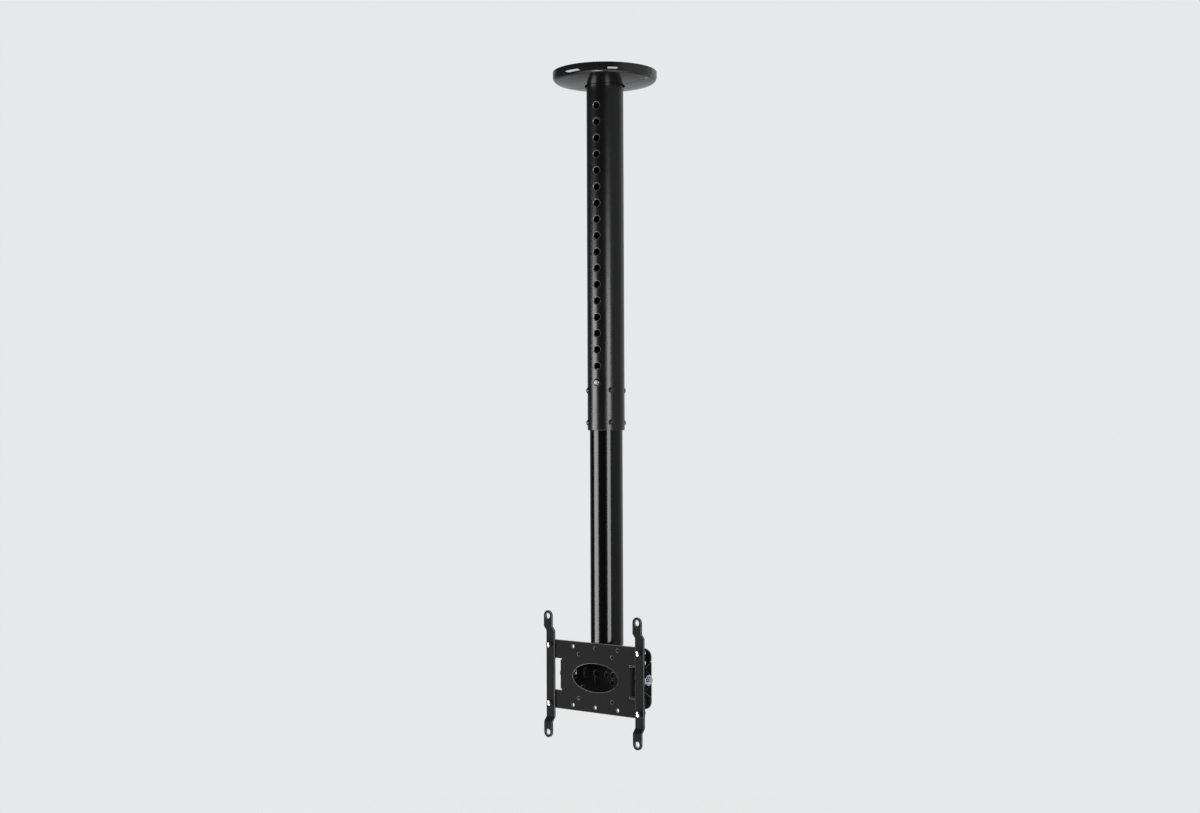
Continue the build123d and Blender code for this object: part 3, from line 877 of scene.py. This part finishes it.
def ring_flats(shape, width):
    """Lay a narrow ring of faces round each flat of a sheet, so that its edges bevel evenly."""
    broad_sides = patches(shape.faces, SHARP_ANGLE)[-2:]
    flats = [flat for side in broad_sides for flat in patches(side, FLAT_ANGLE)]
    for flat in flats:
        if area_of(flat) > SMALL_FLAT:
            bmesh.ops.inset_region(shape, faces=flat, thickness=width, use_even_offset=True)


def folded_sheet(name, node, body, finish_name, edge_wear_and_highlight_finish):
    """A CAD sheet with its edges rounded and painted lighter: paint worn thin, and a painted
    highlight along the edges.
    """
    rounding = bpy.context.scene.mount_fasteners.sheet_edge
    shape = merged(node)
    bmesh.ops.dissolve_limit(
        shape,
        angle_limit=JOIN_ANGLE,
        verts=shape.verts,
        edges=shape.edges,
        use_dissolve_boundaries=False,
    )
    ring_flats(shape, RING_PER_ROUNDING * rounding)
    draft = bpy.data.meshes.new(name + "_draft")
    shape.to_mesh(draft)
    shape.free()
    if "custom_normal" in draft.attributes:
        draft.attributes.remove(draft.attributes["custom_normal"])
    draft.materials.clear()
    draft.materials.append(paint(finish_name))
    draft.materials.append(paint(edge_wear_and_highlight_finish))
    for face in draft.polygons:
        face.use_smooth = True
        face.material_index = 0
    draft.set_sharp_from_angle(angle=SHARP_ANGLE)
    holder = show(name, draft)
    # The bevel faces take the lighter edge finish: worn paint and a painted edge highlight.
    round_edges(holder, rounding, edge_slot=1)
    bake(holder)
    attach(holder, body)
    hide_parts(node)


class MOUNT_OT_cover(bpy.types.Operator):
    """Finish the ceiling plate and the two halves of its cover"""

    bl_idname = "mount.cover"
    bl_label = "Ceiling cover"

    def execute(self, context):
        dress("gloss_plastic", "cover_front", "cover_rear")
        dress("matt_powder_coat", "ceiling_plate")
        return {"FINISHED"}


class MOUNT_OT_pole(bpy.types.Operator):
    """Finish the two tubes, the snap button and its spring"""

    bl_idname = "mount.pole"
    bl_label = "Pole"

    def execute(self, context):
        dress("satin_powder_coat", "outer_tube")
        dress("gloss_lacquer", "inner_tube")
        dress("dull_nickel", "snap_button")
        dress("rolled_strip", "button_spring")
        return {"FINISHED"}


class MOUNT_OT_pole_screws(bpy.types.Operator):
    """Make the socket screws on the outer tube"""

    bl_idname = "mount.pole_screws"
    bl_label = "Pole screws"

    def execute(self, context):
        kit = context.scene.mount_fasteners
        sizes = {
            "Head": kit.socket_head,
            "Rim": kit.socket_rim,
            "Across": kit.socket_across,
            "Depth": kit.socket_depth,
            "Shank": kit.socket_shank,
            "Pitch": kit.socket_pitch,
        }
        for name, node in (
            ("clamp_socket_screws", "clamp_screws"),
            ("spigot_socket_screws", "spigot_screws"),
        ):
            fasteners(
                name,
                "socket_screw",
                node,
                away_from_pole,
                sizes,
                "black_oxide",
                "ceiling",
                head=kit.socket_height,
            )
        return {"FINISHED"}


class MOUNT_OT_swivel(bpy.types.Operator):
    """Finish the swivel and make its bolt"""

    bl_idname = "mount.swivel"
    bl_label = "Swivel"

    def execute(self, context):
        kit = context.scene.mount_fasteners
        dress("bright_zinc", "swivel_plug", "swivel_washer")
        dress("natural_nylon", "swivel_bearing")
        sizes = {"Across": kit.swivel_across, "Shank": kit.swivel_shank, "Pitch": kit.swivel_pitch}
        fasteners(
            "swivel_hex_bolt",
            "hex_bolt",
            "swivel_bolt",
            downwards,
            sizes,
            "bright_zinc",
            "drop",
            head=kit.swivel_height,
        )
        return {"FINISHED"}


class MOUNT_OT_head(bpy.types.Operator):
    """Make the folded sheets of the head with rounded edges"""

    bl_idname = "mount.head"
    bl_label = "Head"

    def execute(self, context):
        folded_sheet("yoke_sheet", "tilt_yoke", "yoke", "dull_primer", "worn_primer")
        for name, node in (
            ("plate_sheet", "screen_plate"),
            ("left_arm_bar", "left_arm"),
            ("right_arm_bar", "right_arm"),
        ):
            folded_sheet(name, node, "screen", "matt_powder_coat", "worn_edge_coat")
        return {"FINISHED"}


class MOUNT_OT_arm_fasteners(bpy.types.Operator):
    """Make the screws and nuts of the adapter arms"""

    bl_idname = "mount.arm_fasteners"
    bl_label = "Arm fasteners"

    def execute(self, context):
        kit = context.scene.mount_fasteners
        screw = {
            "Head": kit.pan_head,
            "Rim": kit.pan_rim,
            "Recess": kit.recess_length,
            "Width": kit.recess_width,
            "Depth": kit.recess_depth,
            "Shank": kit.arm_shank,
            "Pitch": kit.arm_pitch,
        }
        nut = {"Across": kit.arm_nut, "Bore": kit.arm_shank + kit.nut_play}
        for name, tree, node, arrow_at, sizes, head in (
            ("arm_pan_screws", "cross_screw", "arm_screws", to_the_front, screw, kit.pan_height),
            ("arm_hex_nuts", "hex_nut", "arm_nuts", to_the_back, nut, None),
        ):
            fasteners(
                name, tree, node, arrow_at, sizes, "bright_zinc", "screen", head
            )
        return {"FINISHED"}


class MOUNT_OT_tilt_fasteners(bpy.types.Operator):
    """Make the bolts, nuts and washers of the tilt"""

    bl_idname = "mount.tilt_fasteners"
    bl_label = "Tilt fasteners"

    def execute(self, context):
        kit = context.scene.mount_fasteners
        dress("natural_nylon", "friction_washers", "lock_spacers")
        pivot = {"Across": kit.pivot_across, "Shank": kit.pivot_shank, "Pitch": kit.pivot_pitch}
        lock = {"Across": kit.lock_across, "Shank": kit.lock_shank, "Pitch": kit.lock_pitch}
        pivot_nut = {"Across": kit.pivot_across, "Bore": kit.pivot_shank + kit.nut_play}
        lock_nut = {"Across": kit.lock_across, "Bore": kit.lock_shank + kit.nut_play}
        washer = {"Outside": kit.lock_washer, "Bore": kit.lock_bore}
        for name, tree, node, sizes, body, head in (
            ("pivot_hex_bolts", "hex_bolt", "pivot_bolts", pivot, "yoke", kit.pivot_height),
            ("pivot_hex_nuts", "hex_nut", "pivot_nuts", pivot_nut, "yoke", None),
            ("lock_hex_bolts", "hex_bolt", "lock_bolts", lock, "screen", kit.lock_height),
            ("lock_hex_nuts", "hex_nut", "lock_nuts", lock_nut, "screen", None),
            ("lock_flat_washers", "flat_washer", "lock_washers", washer, "screen", None),
        ):
            fasteners(name, tree, node, to_the_side, sizes, "bright_zinc", body, head)
        return {"FINISHED"}


def direction(azimuth):
    """Level unit vector at an azimuth, in degrees from the front of the screen plate."""
    side = radians(azimuth)
    return Vector((sin(side), -cos(side), 0))


def softbox(name, place, aim, width, height, brightness, spread=180.0):
    """Rectangular lamp of a given brightness that points at a spot and isn't seen itself."""
    lamp = bpy.data.lights.new(name, "AREA")
    lamp.shape = "RECTANGLE"
    lamp.size = width
    lamp.size_y = height
    lamp.spread = radians(spread)
    lamp.energy = brightness * width * height * pi
    holder = show(name, lamp)
    holder.location = place
    holder.rotation_euler = (Vector(aim) - Vector(place)).to_track_quat("-Z", "Y").to_euler()
    holder.visible_camera = False


def studio_world(stage):
    """Pale backdrop; away from the camera's view it is bright behind the mount and dim in front."""
    world = bpy.data.worlds.new("studio")
    world.use_nodes = True
    bpy.context.scene.world = world
    net = NodeNet(world.node_tree)
    ray = net.add("ShaderNodeTexCoord").outputs["Generated"]

    def glow(side, fade, brightness):
        """Brightness of a wall on one side, which fades out round its middle."""
        towards = direction(degrees(stage.camera_azimuth) + side)
        off = net.vector_math("DOT_PRODUCT", ray, in_1=towards).outputs["Value"]
        near, far = (cos(radians(angle)) for angle in fade)
        return net.map_range(off, far, near, 0.0, brightness, smooth=True)

    paths = net.add("ShaderNodeLightPath").outputs
    wall = glow(WALL_TURN, WALL_FADE, stage.wall_level)
    side_wall = glow(SIDE_WALL_TURN, SIDE_WALL_FADE, stage.side_level)
    room = net.math("ADD", side_wall, stage.room_level)
    mirrored = net.math("MULTIPLY", paths["Is Glossy Ray"], net.math("ADD", wall, room))
    seen = net.math("MAXIMUM", paths["Is Camera Ray"], paths["Is Transmission Ray"])
    strength = net.math("MAXIMUM", net.math("MAXIMUM", seen, mirrored), room)
    pale = net.add(
        "ShaderNodeBackground", Color=colour(stage.backdrop_colour), Strength=strength
    )
    net.feed(world.node_tree.nodes["World Output"].inputs["Surface"], pale.outputs[0])


def floor_disc(stage):
    """Plain pale floor under the head that fades into the backdrop."""
    mesh = bpy.data.meshes.new("floor")
    shape = bmesh.new()
    bmesh.ops.create_circle(shape, cap_ends=True, segments=FLOOR_SIDES, radius=FLOOR_RADIUS)
    shape.to_mesh(mesh)
    shape.free()
    mesh.transform(Matrix.Translation((0, 0, cad_low.z - FLOOR_GAP)))
    floor = show("floor", mesh)
    material, net, shader, place = finish("pale_floor")
    shader.inputs["Base Color"].default_value = colour(stage.floor_colour)
    shader.inputs["Roughness"].default_value = FLOOR_ROUGHNESS
    flat = net.vector_math("MULTIPLY", place, in_1=(1, 1, 0)).outputs[0]
    reach = net.vector_math("LENGTH", flat).outputs["Value"]
    net.feed(shader.inputs["Alpha"], net.map_range(reach, *FLOOR_FADE, 1.0, 0.0, smooth=True))
    mesh.materials.append(material)


def photo_camera(stage):
    """Camera at the photograph's viewing angle."""
    lens = bpy.data.cameras.new("camera")
    lens.lens = stage.camera_lens
    lens.sensor_width = FILM_WIDTH
    lens.sensor_fit = "HORIZONTAL"
    camera = show("camera", lens)
    place = direction(degrees(stage.camera_azimuth)) * stage.camera_distance
    place.z = -stage.camera_drop
    camera.location = place
    ahead = stage.camera_azimuth + stage.camera_turn
    rise = stage.camera_pitch
    look = Vector((-sin(ahead) * cos(rise), cos(ahead) * cos(rise), sin(rise)))
    level_look = look.to_track_quat("-Z", "Y")
    roll = Quaternion((0, 0, 1), -stage.camera_roll)
    camera.rotation_euler = (level_look @ roll).to_euler()
    bpy.context.scene.camera = camera


def studio_lamps(stage):
    """Two tall softboxes, a low fill in front of the head and a wide light from above."""
    middle = (cad_low.z + cad_high.z) / 2 - SOFTBOX_DROP
    floor = cad_low.z - FLOOR_GAP
    for name, side, width, brightness in (
        ("softbox_left", LEFT_TURN, LEFT_WIDTH, stage.left_level),
        ("softbox_right", RIGHT_TURN, RIGHT_WIDTH, stage.right_level),
    ):
        place = direction(degrees(stage.camera_azimuth) + side) * SOFTBOX_DISTANCE
        place.z = middle
        softbox(name, place, (0, 0, middle), width, SOFTBOX_HEIGHT, brightness)
    low = (*FILL_PLACE, floor + FILL_RISE)
    head = (0, HEAD_FRONT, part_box("screen_plate")[1].z)
    softbox("low_fill", low, head, FILL_SIZE, FILL_SIZE, stage.fill_level, FILL_SPREAD)
    softbox("top_light", TOP_PLACE, (0, 0, floor), TOP_SIZE, TOP_SIZE, stage.top_level)


class MOUNT_OT_stage(bpy.types.Operator):
    """Make the floor, the lights, the studio and the camera"""

    bl_idname = "mount.stage"
    bl_label = "Stage"

    def execute(self, context):
        stage = context.scene.mount_stage
        context.scene.view_settings.view_transform = "Standard"
        studio_world(stage)
        floor_disc(stage)
        studio_lamps(stage)
        photo_camera(stage)
        return {"FINISHED"}


class MOUNT_PT_panel(bpy.types.Panel):
    """Sizes, colours and pieces of the ceiling mount"""

    bl_label = "Ceiling mount"
    bl_space_type = "VIEW_3D"
    bl_region_type = "UI"
    bl_category = "Mount"

    def draw(self, context):
        scene = context.scene
        for settings in (scene.mount_finish, scene.mount_fasteners, scene.mount_stage):
            box = self.layout.box()
            for name in settings.__annotations__:
                box.prop(settings, name)
        for operator in OPERATORS:
            self.layout.operator(operator.bl_idname)


SETTINGS = {
    "mount_stage": StageSettings,
    "mount_finish": FinishSettings,
    "mount_fasteners": FastenerSettings,
}
OPERATORS = (
    MOUNT_OT_cover,
    MOUNT_OT_pole,
    MOUNT_OT_pole_screws,
    MOUNT_OT_swivel,
    MOUNT_OT_head,
    MOUNT_OT_arm_fasteners,
    MOUNT_OT_tilt_fasteners,
    MOUNT_OT_stage,
)
CLASSES = (*SETTINGS.values(), *OPERATORS, MOUNT_PT_panel)


def register():
    """Add the settings, operators and panel to Blender."""
    for kind in CLASSES:
        bpy.utils.register_class(kind)
    for name, kind in SETTINGS.items():
        setattr(bpy.types.Scene, name, bpy.props.PointerProperty(type=kind))


def unregister():
    """Take the settings, operators and panel out of Blender."""
    for name in SETTINGS:
        delattr(bpy.types.Scene, name)
    for kind in reversed(CLASSES):
        bpy.utils.unregister_class(kind)


def main():
    """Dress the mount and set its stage."""
    register()
    bpy.ops.mount.cover()
    bpy.ops.mount.pole()
    bpy.ops.mount.pole_screws()
    bpy.ops.mount.swivel()
    bpy.ops.mount.head()
    bpy.ops.mount.arm_fasteners()
    bpy.ops.mount.tilt_fasteners()
    bpy.ops.mount.stage()


if __name__ == "__main__":
    main()
